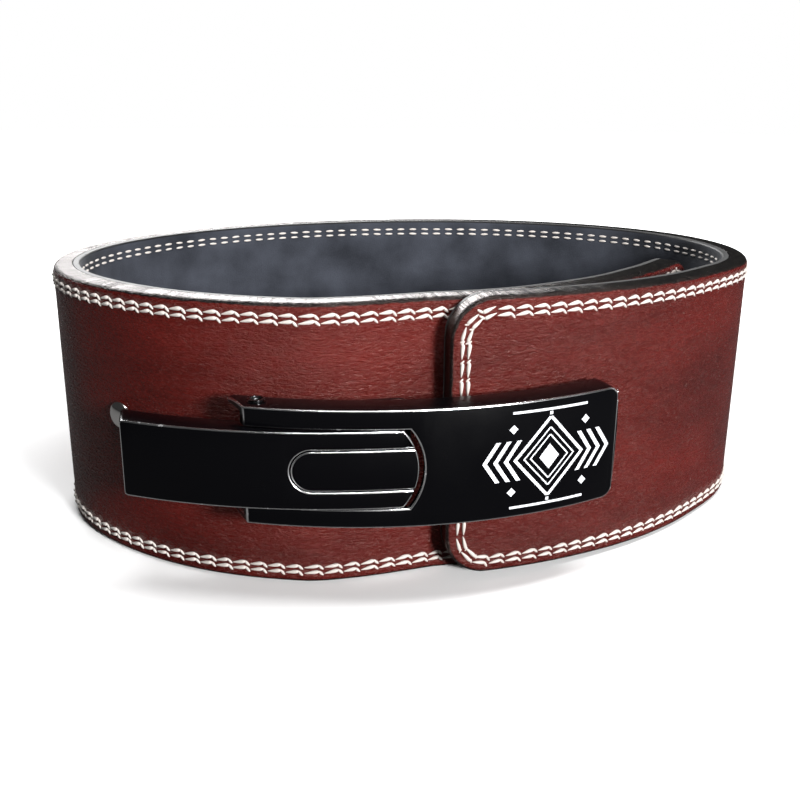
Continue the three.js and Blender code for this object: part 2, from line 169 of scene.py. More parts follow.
surround = bpy.data.worlds.new("surround")
surround.use_nodes = True
bpy.context.scene.world = surround
tree = surround.node_tree
glow = tree.nodes["Background"]
glow.inputs["Color"].default_value = (1, 1, 1, 1)
seen = add_node(tree, "ShaderNodeLightPath")
strength = add_node(tree, "ShaderNodeMix", {"data_type": "FLOAT"}, {2: SURROUND_GLOW, 3: 1.0})
tree.links.new(seen.outputs["Is Camera Ray"], strength.inputs[0])
tree.links.new(strength.outputs[0], glow.inputs["Strength"])


# Outer leather of the strap
# One panel of smooth oxblood hide, cut 100 mm wide with round corners and wrapped once
# round the waist, past its own end. Its cut edges are rounded and painted black.
HALF_WIDTH = 0.1407
HALF_DEPTH = 0.0984
THICKNESS = 0.010
LAP_CLEARANCE = 0.0009
OUTER_END_LIFT = 0.002
CORNER_RADIUS = 0.015
HIDE_BACK = -0.0021
HIDE_EDGE_RADIUS = 0.002
STITCH_PITCH = 0.0062
ROW_INSETS = (0.0041, 0.0063)
CLOSEST_COLUMNS = 0.00025
ROW_WIDTH = 0.0009
ROW_SINK = 0.00014
HOLE_SINK = 0.00016
PUCKERED_DEPTH = 0.0032
RIDGES = (
    # inset, width, rise
    (0.0025, 0.0011, 0.00016),
    (0.0086, 0.0014, 0.00012),
)
# turn from the front's middle, outward set in thicknesses, laps lain under, lift in end lifts
LAY = np.array((
    (-0.0085, 0.37, 0, 1),
    (0.02, 0.34, 0, 0.98),
    (0.06, 0.2, 0, 0.75),
    (0.13, 0.08, 0, 0.3),
    (0.195, 0.42, 0, 0),
    (0.27, 0.2, 0, 0),
    (0.35, 0, 0, 0),
    (0.82, 0, 0, 0),
    (0.9, 0.24, 0, 0),
    (0.934, 0.3, 0.03, 0),
    (0.955, 0.34, 0.36, 0),
    (0.975, 0.36, 0.76, 0),
    (0.992, 0.37, 1, 0),
    (1.02, 0.24, 1, 0),
    (1.054, -0.15, 1, 0),
    (1.08, -0.43, 1, 0),
    (1.113, -0.82, 1, 0),
    (1.15, -0.97, 1, 0),
    (1.185, -0.78, 1, 0),
))
LOOP_MIDDLE_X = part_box("strap_hide")[0].x + HALF_WIDTH
LOOP_MIDDLE_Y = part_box("strap_hide")[1].y - HALF_DEPTH


def lay_column(column, turns):
    """One column of the lay, read smoothly and never past its neighbouring rows."""
    knots, values = LAY[:, 0], LAY[:, column]
    rises = np.diff(values) / np.diff(knots)
    slopes = np.zeros(len(knots))
    before, after = rises[:-1], rises[1:]
    same = before * after > 0
    slopes[1:-1][same] = 2 * before[same] * after[same] / (before[same] + after[same])
    row = np.clip(np.searchsorted(knots, turns) - 1, 0, len(knots) - 2)
    run = knots[row + 1] - knots[row]
    t = np.clip((turns - knots[row]) / run, 0, 1)
    start = (2 * t**3 - 3 * t**2 + 1) * values[row] + (t**3 - 2 * t**2 + t) * run * slopes[row]
    end = (3 * t**2 - 2 * t**3) * values[row + 1] + (t**3 - t**2) * run * slopes[row + 1]
    return start + end


def strap_line():
    """The middle of the strap in plan: length along it, place, outward direction and lift."""
    turns = np.linspace(LAY[0, 0], LAY[-1, 0], 6000)
    angles = turns * 2 * np.pi
    half_width, half_depth = HALF_WIDTH - THICKNESS / 2, HALF_DEPTH - THICKNESS / 2
    middle = np.stack((half_width * np.sin(angles), -half_depth * np.cos(angles)), 1)
    outward = np.stack((half_depth * np.sin(angles), -half_width * np.cos(angles)), 1)
    outward /= np.linalg.norm(outward, axis=1)[:, None]
    set_out = lay_column(1, turns) * THICKNESS - lay_column(2, turns) * (THICKNESS + LAP_CLEARANCE)
    middle += outward * set_out[:, None]
    along = np.gradient(middle, axis=0)
    lengths = np.concatenate(((0,), np.cumsum(np.linalg.norm(np.diff(middle, axis=0), axis=1))))
    along /= np.linalg.norm(along, axis=1)[:, None]
    outward = np.stack((along[:, 1], -along[:, 0]), 1)
    middle += (LOOP_MIDDLE_X, LOOP_MIDDLE_Y)
    return lengths, middle, outward, lay_column(3, turns) * OUTER_END_LIFT


LENGTHS, MIDDLE, OUTWARD, LIFT = strap_line()
STRAP_LENGTH = LENGTHS[-1]
STRAP_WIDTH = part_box("strap_hide")[1].z - OUTER_END_LIFT


def wrapped(flat):
    """Places on the flat strap (along, minus outward, height) carried to the closed belt."""
    read = lambda values: np.interp(flat[:, 0], LENGTHS, values)
    set_out = -flat[:, 1]
    return np.stack((
        read(MIDDLE[:, 0]) + read(OUTWARD[:, 0]) * set_out,
        read(MIDDLE[:, 1]) + read(OUTWARD[:, 1]) * set_out,
        flat[:, 2] + read(LIFT),
    ), 1)


def wrap(bm):
    """Carries a flat bmesh to the closed belt."""
    flat = np.array([v.co for v in bm.verts])
    for vert, place in zip(bm.verts, wrapped(flat)):
        vert.co = place


def corner_drop(distance, radius):
    """How far a round corner has fallen back at a distance from the end."""
    inside = np.clip(radius - distance, 0, radius)
    return radius - np.sqrt(radius**2 - inside**2)


def edge_distance(along, height):
    """Distance of a place on the flat strap from its outline, with its round corners."""
    to_end = np.minimum(along, STRAP_LENGTH - along)
    to_side = np.minimum(height, STRAP_WIDTH - height)
    into_corner = np.hypot(
        np.clip(CORNER_RADIUS - to_end, 0, None), np.clip(CORNER_RADIUS - to_side, 0, None)
    )
    both = (to_end < CORNER_RADIUS) & (to_side < CORNER_RADIUS)
    return np.where(both, CORNER_RADIUS - into_corner, np.minimum(to_end, to_side))


def strap_columns(spacing):
    """Lengths along the strap, evenly spaced and closer together round its ends."""
    ends = []
    for radius, steps in ((HIDE_EDGE_RADIUS, 4), (CORNER_RADIUS, 12)):
        ends += [radius * (1 - math.cos(step * math.pi / 2 / steps)) for step in range(steps + 1)]
    ends = sorted(ends)
    ends = np.array([0.0] + [b for a, b in zip(ends, ends[1:]) if b - a > CLOSEST_COLUMNS])
    ends = ends[ends < CORNER_RADIUS]
    count = round((STRAP_LENGTH - 2 * CORNER_RADIUS) / spacing)
    open_run = np.linspace(CORNER_RADIUS, STRAP_LENGTH - CORNER_RADIUS, count + 1)
    return np.concatenate((ends, open_run, STRAP_LENGTH - ends[::-1]))


def panel(columns, face_rows, near, far, edge_radius):
    """A closed flat panel of the strap between two depths, round on its far side's edges."""
    side = 1 if far > near else -1
    rim = [(edge_radius * (1 - math.cos(a)), far - side * edge_radius * (1 - math.sin(a)))
           for a in np.linspace(0, math.pi / 2, 6)]
    ring = [("low", 0.0, near)] + [("low", inset, depth) for inset, depth in rim]
    ring += [("face", share, far) for share in face_rows]
    ring += [("high", inset, depth) for inset, depth in reversed(rim)] + [("high", 0.0, near)]
    ring += [("face", 0.7, near), ("face", 0.3, near), ("low", 0.0, near)]
    bm = bmesh.new()
    bmesh.ops.create_grid(bm, x_segments=len(columns) - 1, y_segments=len(ring) - 1, size=0.5)
    bm.verts.ensure_lookup_table()
    grid = np.array([v.co for v in bm.verts])
    column = np.rint((grid[:, 0] + 0.5) * (len(columns) - 1)).astype(int)
    row = np.rint((grid[:, 1] + 0.5) * (len(ring) - 1)).astype(int)
    along = columns[column]
    to_end = np.minimum(along, STRAP_LENGTH - along)
    inset = corner_drop(to_end, CORNER_RADIUS)
    end_drop = corner_drop(to_end, edge_radius)
    kinds = np.array([kind for kind, _, _ in ring])[row]
    values = np.array([value for _, value, _ in ring])[row]
    depths = np.array([depth for _, _, depth in ring])[row]
    low = inset + edge_radius
    face = low + values * (STRAP_WIDTH - 2 * low)
    height = np.select(
        [kinds == "low", kinds == "high"], [inset + values, STRAP_WIDTH - inset - values], face
    )
    depth = np.where(side * (depths - near) > 1e-6, depths - side * end_drop, depths)
    uv = bm.loops.layers.uv.new("strap")
    rim_layer = bm.verts.layers.float.new("rim")
    from_edge = edge_distance(along, height) * 1000
    from_edge = np.where(side * (far - depth) > edge_radius * 0.5, 0, from_edge)
    places = zip(bm.verts, along, depth, height, from_edge)
    for vert, x, n, z, mm in places:
        vert.co = (x, -n, z)
        vert[rim_layer] = mm
    for loop_face in bm.faces:
        for loop in loop_face.loops:
            loop[uv].uv = (loop.vert.co.x, loop.vert.co.z)
    bmesh.ops.remove_doubles(bm, verts=bm.verts, dist=1e-7)
    bmesh.ops.holes_fill(bm, edges=[e for e in bm.edges if e.is_boundary])
    bmesh.ops.recalc_face_normals(bm, faces=bm.faces)
    return bm


def row_shares(inner_step, stitched_step):
    """Heights across the panel's face as shares, close together where the stitching runs."""
    usable = STRAP_WIDTH - 2 * HIDE_EDGE_RADIUS
    stitched = np.arange(0.0006, 0.0078, stitched_step)
    middle = np.linspace(0.0095, usable - 0.0095, round((usable - 0.019) / inner_step))
    rows = np.concatenate((stitched, middle, usable - stitched[::-1]))
    return rows / usable


def pucker(bm, strength):
    """Draws the leather in round each needle hole and lifts it a little between the rows."""
    flat = np.array([v.co for v in bm.verts])
    along, height = flat[:, 0], flat[:, 2]
    inward = edge_distance(along, height)
    phase = 2 * np.pi * along / STITCH_PITCH
    at_end = np.minimum(along, STRAP_LENGTH - along) < CORNER_RADIUS * 0.6
    phase = np.where(at_end, 2 * np.pi * height / STITCH_PITCH, phase)
    sunk = np.zeros(len(flat))
    for row_inset in ROW_INSETS:
        near_row = np.exp(-(((inward - row_inset) / ROW_WIDTH) ** 2))
        sunk -= near_row * (ROW_SINK + HOLE_SINK * np.clip(np.cos(phase), 0, 1) ** 2)
    for inset, width, rise in RIDGES:
        sunk += rise * np.exp(-(((inward - inset) / width) ** 2)) * (0.6 - 0.4 * np.cos(phase))
    outer = -flat[:, 1] > PUCKERED_DEPTH if strength > 0 else flat[:, 1] > PUCKERED_DEPTH
    shift = np.where(outer, sunk * strength, 0)
    for vert, by in zip(bm.verts, shift):
        vert.co.y -= by


hide_columns = strap_columns(STITCH_PITCH / 6)
hide_rows = row_shares(0.0045, 0.0008)
hide_bm = panel(hide_columns, hide_rows, HIDE_BACK, THICKNESS / 2, HIDE_EDGE_RADIUS)
pucker(hide_bm, 1.0)
wrap(hide_bm)

oxblood, tree, shader = new_finish(
    "oxblood_leather", (0.09, 0.012, 0.010), 0.42,
    Specular_IOR_Level=0.42, Specular_Tint=(1.0, 0.72, 0.66, 1),
)
flat_map = add_node(tree, "ShaderNodeUVMap", {"uv_map": "strap"})
stretch = add_node(tree, "ShaderNodeMapping", None, {"Scale": (0.36, 1.0, 1.0)})
tree.links.new(flat_map.outputs[0], stretch.inputs[0])
tone = add_node(tree, "ShaderNodeTexNoise", None, {"Scale": 28.0, "Detail": 4.0, "Roughness": 0.6})
tree.links.new(stretch.outputs[0], tone.inputs[0])
tones = add_node(tree, "ShaderNodeValToRGB")
tones.color_ramp.elements[0].position = 0.3
tones.color_ramp.elements[0].color = (0.048, 0.0034, 0.0026, 1)
tones.color_ramp.elements[1].position = 0.72
tones.color_ramp.elements[1].color = (0.118, 0.0098, 0.0072, 1)
crease = add_node(
    tree, "ShaderNodeTexNoise", None, {"Scale": 860.0, "Detail": 5.0, "Roughness": 0.68, "Distortion": 1.2}
)
tree.links.new(stretch.outputs[0], crease.inputs[0])
pebble = add_node(
    tree, "ShaderNodeTexVoronoi", {"feature": "DISTANCE_TO_EDGE"}, {"Scale": 1150.0, "Randomness": 1.0}
)
tree.links.new(stretch.outputs[0], pebble.inputs[0])
grain = add_node(tree, "ShaderNodeMath", {"operation": "MULTIPLY_ADD"}, {1: 0.5})
tree.links.new(pebble.outputs[0], grain.inputs[0])
tree.links.new(crease.outputs[0], grain.inputs[2])
# The leather's colour mixes a real random tone with the crease noise of its grain, so it darkens in the
# creases: painted shade.
tone_and_crease_shade = add_node(tree, "ShaderNodeMath", {"operation": "MULTIPLY_ADD"}, {1: 0.45})
levelled_tone_and_crease_shade = add_node(tree, "ShaderNodeMath", {"operation": "SUBTRACT"}, {1: 0.22})
tree.links.new(crease.outputs[0], tone_and_crease_shade.inputs[0])
tree.links.new(tone.outputs[0], tone_and_crease_shade.inputs[2])
tree.links.new(tone_and_crease_shade.outputs[0], levelled_tone_and_crease_shade.inputs[0])
tree.links.new(levelled_tone_and_crease_shade.outputs[0], tones.inputs[0])
relief = add_node(tree, "ShaderNodeBump", None, {"Strength": 1.0, "Distance": 0.00075})
tree.links.new(grain.outputs[0], relief.inputs["Height"])
tree.links.new(relief.outputs[0], shader.inputs["Normal"])
worn = add_node(tree, "ShaderNodeMapRange", None, {1: 0.3, 2: 0.75, 3: 0.22, 4: 0.33})
tree.links.new(crease.outputs[0], worn.inputs[0])
rim = add_node(tree, "ShaderNodeAttribute", {"attribute_name": "rim"})
uneven = add_node(tree, "ShaderNodeTexNoise", None, {"Scale": 240.0, "Detail": 2.0})
tree.links.new(flat_map.outputs[0], uneven.inputs[0])
wobbly = add_node(tree, "ShaderNodeMath", {"operation": "MULTIPLY_ADD"}, {1: -0.9})
tree.links.new(uneven.outputs[0], wobbly.inputs[0])
tree.links.new(rim.outputs["Fac"], wobbly.inputs[2])
painted = add_node(tree, "ShaderNodeMapRange", {"clamp": True}, {1: 0.55, 2: 1.0, 3: 1.0, 4: 0.0})
tree.links.new(wobbly.outputs[0], painted.inputs[0])
fibre_map = add_node(tree, "ShaderNodeTexCoord")
fibre_scale = add_node(tree, "ShaderNodeMapping", None, {"Scale": (60.0, 60.0, 900.0)})
fibre = add_node(tree, "ShaderNodeTexNoise", None, {"Scale": 9.0, "Detail": 5.0, "Roughness": 0.75})
fibres = add_node(tree, "ShaderNodeValToRGB")
fibres.color_ramp.elements[0].position = 0.52
fibres.color_ramp.elements[0].color = (0.003, 0.003, 0.0032, 1)
fibres.color_ramp.elements[1].position = 0.74
fibres.color_ramp.elements[1].color = (0.05, 0.047, 0.04, 1)
tree.links.new(fibre_map.outputs["Object"], fibre_scale.inputs[0])
tree.links.new(fibre_scale.outputs[0], fibre.inputs[0])
tree.links.new(fibre.outputs[0], fibres.inputs[0])
surface = add_node(tree, "ShaderNodeMix", {"data_type": "RGBA"})
tree.links.new(fibres.outputs[0], surface.inputs[7])
tree.links.new(painted.outputs[0], surface.inputs[0])
tree.links.new(tones.outputs[0], surface.inputs[6])
tree.links.new(surface.outputs[2], shader.inputs["Base Color"])
gloss = add_node(tree, "ShaderNodeMix", {"data_type": "FLOAT"}, {3: 0.25})
tree.links.new(painted.outputs[0], gloss.inputs[0])
tree.links.new(worn.outputs[0], gloss.inputs[2])
tree.links.new(gloss.outputs[0], shader.inputs["Roughness"])

strap_leather = shown("strap_leather", hide_bm, oxblood)
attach(strap_leather, "belt")
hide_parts("strap_hide")


# Lining of the strap
# A thinner layer of dark slate suede glued inside the hide, with its own rounded and
# painted edge. The glue line shows as a groove between the two.
LINING_FACE = -0.0024
LINING_EDGE_RADIUS = 0.001

lining_columns = strap_columns(STITCH_PITCH / 4)
lining_rows = row_shares(0.006, 0.0011)
lining_bm = panel(lining_columns, lining_rows, LINING_FACE, -THICKNESS / 2, LINING_EDGE_RADIUS)
pucker(lining_bm, -1.0)
wrap(lining_bm)

suede, tree, shader = new_finish(
    "slate_suede", (0.045, 0.049, 0.058), 0.85,
    Sheen_Weight=0.08, Sheen_Roughness=0.5, Specular_IOR_Level=0.2,
)
flat_map = add_node(tree, "ShaderNodeUVMap", {"uv_map": "strap"})
nap = add_node(tree, "ShaderNodeTexNoise", None, {"Scale": 1500.0, "Detail": 3.0, "Roughness": 0.7})
brushed = add_node(tree, "ShaderNodeTexNoise", None, {"Scale": 45.0, "Detail": 3.0})
tree.links.new(flat_map.outputs[0], nap.inputs[0])
tree.links.new(flat_map.outputs[0], brushed.inputs[0])
cloud = add_node(tree, "ShaderNodeMath", {"operation": "MULTIPLY_ADD"}, {1: 0.35})
tree.links.new(nap.outputs[0], cloud.inputs[0])
tree.links.new(brushed.outputs[0], cloud.inputs[2])
tones = add_node(tree, "ShaderNodeValToRGB")
tones.color_ramp.elements[0].position = 0.45
tones.color_ramp.elements[0].color = (0.016, 0.018, 0.024, 1)
tones.color_ramp.elements[1].position = 0.9
tones.color_ramp.elements[1].color = (0.050, 0.055, 0.070, 1)
tree.links.new(cloud.outputs[0], tones.inputs[0])
rim = add_node(tree, "ShaderNodeAttribute", {"attribute_name": "rim"})
painted = add_node(tree, "ShaderNodeMapRange", {"clamp": True}, {1: 0.5, 2: 0.9, 3: 1.0, 4: 0.0})
tree.links.new(rim.outputs["Fac"], painted.inputs[0])
surface = add_node(tree, "ShaderNodeMix", {"data_type": "RGBA"}, {7: (0.006, 0.006, 0.0065, 1)})
tree.links.new(painted.outputs[0], surface.inputs[0])
tree.links.new(tones.outputs[0], surface.inputs[6])
tree.links.new(surface.outputs[2], shader.inputs["Base Color"])
gloss = add_node(tree, "ShaderNodeMix", {"data_type": "FLOAT"}, {2: 0.9, 3: 0.5})
tree.links.new(painted.outputs[0], gloss.inputs[0])
tree.links.new(gloss.outputs[0], shader.inputs["Roughness"])
relief = add_node(tree, "ShaderNodeBump", None, {"Strength": 0.6, "Distance": 0.0002})
tree.links.new(nap.outputs[0], relief.inputs["Height"])
tree.links.new(relief.outputs[0], shader.inputs["Normal"])

strap_suede = shown("strap_suede", lining_bm, suede)
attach(strap_suede, "belt")
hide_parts("strap_lining")


# Stitching
# Two rows of thick waxed thread run round the strap, 4.1 and 6.3 mm in from its edge. Outside
# each stitch slants and drops into its hole with a short tail; inside the stitches are short.
STITCH_LENGTH = 0.0047
STITCH_RADIUS = 0.00078
STITCH_SLANT = 0.17
TAIL_LENGTH = 0.0026
TAIL_RADIUS = 0.00048
TAIL_TURN = math.radians(46)
INNER_STITCH_LENGTH = 0.0038
INNER_STITCH_RADIUS = 0.0005


def add_bead(bm, length, radius, blunt, turn, place):
    """One pull of thread along X, thicker towards its far end by its bluntness."""
    uv = bm.loops.layers.uv.verify()
    fresh = bmesh.ops.create_uvsphere(bm, u_segments=8, v_segments=8, radius=1.0)["verts"]
    bmesh.ops.rotate(bm, verts=fresh, matrix=Matrix.Rotation(math.radians(90), 3, "Y"))
    for vert in fresh:
        for loop in vert.link_loops:
            co = vert.co
            loop[uv].uv = (co.x * length * 500, math.atan2(co.z, -co.y) / math.tau)
    for vert in fresh:
        x, y, z = vert.co
        thick = radius * (1.0 + blunt * x) / (1.0 + blunt * 0.5)
        along = (x + blunt * 0.45 * (1 - x * x)) * length / 2
        vert.co = (along, y * thick, z * thick)
    bmesh.ops.rotate(bm, verts=fresh, matrix=Matrix.Rotation(turn, 3, "Y"))
    bmesh.ops.translate(bm, verts=fresh, vec=place)


def outer_pull():
    """A slanted blunt stitch and the thin tail that drops from it into its needle hole."""
    bm = bmesh.new()
    add_bead(bm, STITCH_LENGTH, STITCH_RADIUS, 0.45, -STITCH_SLANT, (-0.0004, -0.0001, 0))
    tail = (STITCH_LENGTH / 2 + 0.0002, 0.0001, -0.0003)
    add_bead(bm, TAIL_LENGTH, TAIL_RADIUS, 0.0, TAIL_TURN, tail)
    return bm


def end_pull():
    """A straight stitch of the rows across the strap's ends, thicker at one end."""
    bm = bmesh.new()
    add_bead(bm, STITCH_LENGTH * 1.12, STITCH_RADIUS * 0.95, 0.35, 0.05, (0, -0.0001, 0))
    add_bead(bm, TAIL_LENGTH * 0.7, TAIL_RADIUS * 0.7, 0.0, TAIL_TURN, (STITCH_LENGTH * 0.6, 0.0001, 0))
    return bm


def inner_pull():
    """A short even stitch, pulled down into the suede at both ends."""
    bm = bmesh.new()
    add_bead(bm, INNER_STITCH_LENGTH, INNER_STITCH_RADIUS, 0.0, 0.0, (0, 0, 0))
    return bm


def sewn_row(inset):
    """Places and turns of the stitches of one row, once round the flat strap's outline."""
    corner = CORNER_RADIUS - inset
    long_run = STRAP_LENGTH - 2 * CORNER_RADIUS
    short_run = STRAP_WIDTH - 2 * CORNER_RADIUS
    along_count = round(long_run / STITCH_PITCH)
    across_count = round(short_run / STITCH_PITCH)
    corner_count = round((CORNER_RADIUS - ROW_INSETS[0]) * math.pi / 2 / STITCH_PITCH)
    corners = (
        (Vector((STRAP_LENGTH - CORNER_RADIUS, 0, STRAP_WIDTH - CORNER_RADIUS)), 90),
        (Vector((STRAP_LENGTH - CORNER_RADIUS, 0, CORNER_RADIUS)), 0),
        (Vector((CORNER_RADIUS, 0, CORNER_RADIUS)), -90),
        (Vector((CORNER_RADIUS, 0, STRAP_WIDTH - CORNER_RADIUS)), -180),
    )
    places = []
    for i in range(along_count):
        x = CORNER_RADIUS + long_run * (i + 0.5) / along_count
        places.append((Vector((x, 0, STRAP_WIDTH - inset)), 0.0))
        places.append((Vector((x, 0, inset)), 0.0))
    for i in range(across_count):
        z = CORNER_RADIUS + short_run * (i + 0.5) / across_count
        places.append((Vector((STRAP_LENGTH - inset, 0, z)), math.radians(90)))
        places.append((Vector((inset, 0, z)), math.radians(90)))
    for middle, start in corners:
        for i in range(corner_count):
            angle = math.radians(start - 90 * (i + 0.5) / corner_count)
            out = Vector((math.cos(angle), 0, math.sin(angle)))
            places.append((middle + out * corner, angle + math.radians(90)))
    return places


def copies_of(stitch, count):
    """A bmesh that holds so many copies of one stitch, one after another."""
    bm = stitch.copy()
    wanted = len(bm.verts) * count
    while len(bm.verts) < wanted:
        bm.verts.index_update()
        missing = wanted - len(bm.verts)
        whole = [v for v in bm.verts if v.index < missing]
        edges = [e for e in bm.edges if e.verts[0].index < missing]
        faces = [f for f in bm.faces if f.verts[0].index < missing]
        bmesh.ops.duplicate(bm, geom=whole + edges + faces)
    return bm


def sew(name, stitch, end_stitch, face_depth, outside):
    """All the stitches of one face, laid on the flat strap and carried round with it."""
    rows = [sewn for inset in ROW_INSETS for sewn in sewn_row(inset)]
    seams = bmesh.new()
    for pull, across in ((stitch, False), (end_stitch, True)):
        places = [sewn for sewn in rows if (abs(math.sin(sewn[1])) > 0.6) == across]
        shape = [vert.co.copy() for vert in pull.verts]
        bm = copies_of(pull, len(places))
        for number, vert in enumerate(bm.verts):
            stitch_number, corner = divmod(number, len(shape))
            if corner == 0:
                place, turn = places[stitch_number]
                spin = Matrix.Rotation(-turn - random.uniform(-0.06, 0.06), 3, "Y")
                scale = random.uniform(0.94, 1.05)
            co = spin @ (shape[corner] * scale)
            depth = co.y if outside else -co.y
            vert.co = (place.x + co.x, depth - face_depth, place.z + co.z)
        carrier = bpy.data.meshes.new(name)
        bm.to_mesh(carrier)
        bm.free()
        seams.from_mesh(carrier)
        bpy.data.meshes.remove(carrier)
    if not outside:
        bmesh.ops.reverse_faces(seams, faces=seams.faces)
    wrap(seams)
    return shown(name, seams, thread)


thread, tree, shader = new_finish(
    "white_thread", (0.80, 0.78, 0.73), 0.55, Sheen_Weight=0.2, Sheen_Roughness=0.4
)
lay_map = add_node(tree, "ShaderNodeUVMap", {"uv_map": "thread"})
ply_twist_and_groove_shade = add_node(
    tree, "ShaderNodeTexWave", {"bands_direction": "DIAGONAL"},
    {"Scale": 0.9, "Distortion": 0.5, "Detail": 1.0},
)
tree.links.new(lay_map.outputs[0], ply_twist_and_groove_shade.inputs[0])
# The twist bands also darken the thread's colour where its bump sinks between the plies: painted shade in
# the grooves.
tones = add_node(tree, "ShaderNodeValToRGB")
tones.color_ramp.elements[0].color = (0.62, 0.57, 0.53, 1)
tones.color_ramp.elements[1].color = (0.92, 0.91, 0.88, 1)
tones.color_ramp.elements[1].position = 0.6
tree.links.new(ply_twist_and_groove_shade.outputs["Fac"], tones.inputs[0])
tree.links.new(tones.outputs[0], shader.inputs["Base Color"])
relief = add_node(tree, "ShaderNodeBump", None, {"Strength": 0.5, "Distance": 0.0002})
tree.links.new(ply_twist_and_groove_shade.outputs["Fac"], relief.inputs["Height"])
tree.links.new(relief.outputs[0], shader.inputs["Normal"])

stitching = sew("outer_stitching", outer_pull(), end_pull(), THICKNESS / 2, True)
inner_stitching = sew("inner_stitching", inner_pull(), inner_pull(), -THICKNESS / 2, False)
for row in (stitching, inner_stitching):
    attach(row, "belt")


# Lever
# Three black coated steel pieces: a base screwed to the inner lap, a curved handle forked
# round it, and a hook plate whose window takes the handle. Their edges are broken and worn.
EDGE_BREAK = 0.0005
EDGE_SEGMENTS = 3
SHORTEST_EDGE = 0.00005


def softened(node, edge):
    """A CAD node's own form as a new piece, its flat faces whole and its edges rounded."""
    bm = bmesh.new()
    worn_layer = bm.faces.layers.float.new("worn")
    bm.from_mesh(nodes[node].data)
    bmesh.ops.remove_doubles(bm, verts=bm.verts, dist=SHORTEST_EDGE)
    bmesh.ops.dissolve_limit(
        bm, angle_limit=math.radians(1.0), use_dissolve_boundaries=False,
        verts=bm.verts, edges=bm.edges,
    )
    sharp = [e for e in bm.edges if len(e.link_faces) == 2 and e.calc_face_angle() > math.radians(32)]
    broken = bmesh.ops.bevel(
        bm, geom=sharp, offset=edge, offset_type="OFFSET", affect="EDGES",
        segments=EDGE_SEGMENTS, profile=0.5, material=-1, clamp_overlap=False,
    )
    for face in broken["faces"]:
        face[worn_layer] = 1.0
    bmesh.ops.remove_doubles(bm, verts=bm.verts, dist=2e-6)
    bmesh.ops.dissolve_degenerate(bm, dist=1e-6, edges=bm.edges)
    bmesh.ops.triangulate(bm, faces=[f for f in bm.faces if len(f.verts) > 4])
    return bm


black_coat, tree, shader = new_finish(
    "black_steel", (0.0015, 0.0015, 0.002), 0.3, Specular_IOR_Level=0.1
)
body_map = add_node(tree, "ShaderNodeTexCoord")
dust = add_node(tree, "ShaderNodeTexNoise", None, {"Scale": 1600.0, "Detail": 2.0})
smear = add_node(tree, "ShaderNodeTexNoise", None, {"Scale": 60.0, "Detail": 3.0})
tree.links.new(body_map.outputs["Object"], dust.inputs[0])
tree.links.new(body_map.outputs["Object"], smear.inputs[0])
gloss = add_node(tree, "ShaderNodeMapRange", None, {1: 0.3, 2: 0.7, 3: 0.18, 4: 0.28})
tree.links.new(smear.outputs[0], gloss.inputs[0])
tree.links.new(gloss.outputs[0], shader.inputs["Roughness"])
edge_mark = add_node(tree, "ShaderNodeAttribute", {"attribute_name": "worn"})
rub = add_node(tree, "ShaderNodeTexNoise", None, {"Scale": 190.0, "Detail": 4.0, "Roughness": 0.7})
rubbed = add_node(tree, "ShaderNodeMapRange", {"clamp": True}, {1: 0.3, 2: 0.38, 3: 0.0, 4: 1.0})
bare = add_node(tree, "ShaderNodeMath", {"operation": "MULTIPLY"})
steel = add_node(
    tree, "ShaderNodeMix", {"data_type": "RGBA"}, {6: (0.0015, 0.0015, 0.002, 1), 7: (0.9, 0.9, 0.91, 1)}
)
tree.links.new(body_map.outputs["Object"], rub.inputs[0])
tree.links.new(rub.outputs[0], rubbed.inputs[0])
tree.links.new(edge_mark.outputs["Fac"], bare.inputs[0])
tree.links.new(rubbed.outputs[0], bare.inputs[1])
tree.links.new(bare.outputs[0], steel.inputs[0])
tree.links.new(steel.outputs[2], shader.inputs["Base Color"])
tree.links.new(bare.outputs[0], shader.inputs["Metallic"])
relief = add_node(tree, "ShaderNodeBump", None, {"Strength": 0.2, "Distance": 0.00004})
tree.links.new(dust.outputs[0], relief.inputs["Height"])
tree.links.new(relief.outputs[0], shader.inputs["Normal"])

LEVER_PIECES = (
    # new piece, CAD node, body, broken edge
    ("base_bracket", "lever_base", "belt", 0.0004),
    ("curved_handle", "lever_handle", "handle", EDGE_BREAK),
    ("hooked_plate", "hook_plate", "hook", EDGE_BREAK),
)
for piece_name, node, body, edge in LEVER_PIECES:
    piece = shown(piece_name, softened(node, edge), black_coat)
    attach(piece, body)
    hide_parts(node)


# Print on the hook plate
# A flat white ornament on the plate's right part: nested lozenges between pairs of chevrons,
# screen printed on the black coat and slightly rubbed.
PLATE_ARC_RADIUS = 0.1544
PLATE_ARC_OFFSET = -0.0124
PLATE_RIGHT = 0.049
PLATE_PRINT_SIZE = 0.046
PLATE_PRINT_X = 0.0222
PLATE_PRINT_HEIGHT = 0.052
PLATE_PRINT_LIFT = 0.00007
PLATE_FRONT_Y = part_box("hook_plate")[0].y


def lozenge(bm, middle, half_width, half_height):
    """A flat filled lozenge, divided so that it can follow a curved face."""
    cells = bmesh.ops.create_grid(bm, x_segments=6, y_segments=6, size=0.5)["verts"]
    for vert in cells:
        u, v = vert.co.x, vert.co.y
        vert.co = (middle[0] + (u - v) * half_width, 0, middle[1] + (u + v) * half_height)


def chevron(bm, tip, reach, half_height, band):
    """A flat V lying on its side, with its tip outwards and its two arms of even width."""
    for sign in (-1, 1):
        arm = bmesh.ops.create_grid(bm, x_segments=6, y_segments=1, size=0.5)["verts"]
        for vert in arm:
            along = vert.co.x + 0.5
            across = vert.co.y * band
            vert.co = (tip[0] - reach * along + across, 0, tip[1] + sign * half_height * along)


def bar(bm, middle, half_width, half_height):
    """A flat level bar, divided along its length."""
    strip = bmesh.ops.create_grid(bm, x_segments=12, y_segments=1, size=0.5)["verts"]
    for vert in strip:
        x = middle[0] + vert.co.x * 2 * half_width
        vert.co = (x, 0, middle[1] + vert.co.y * 2 * half_height)


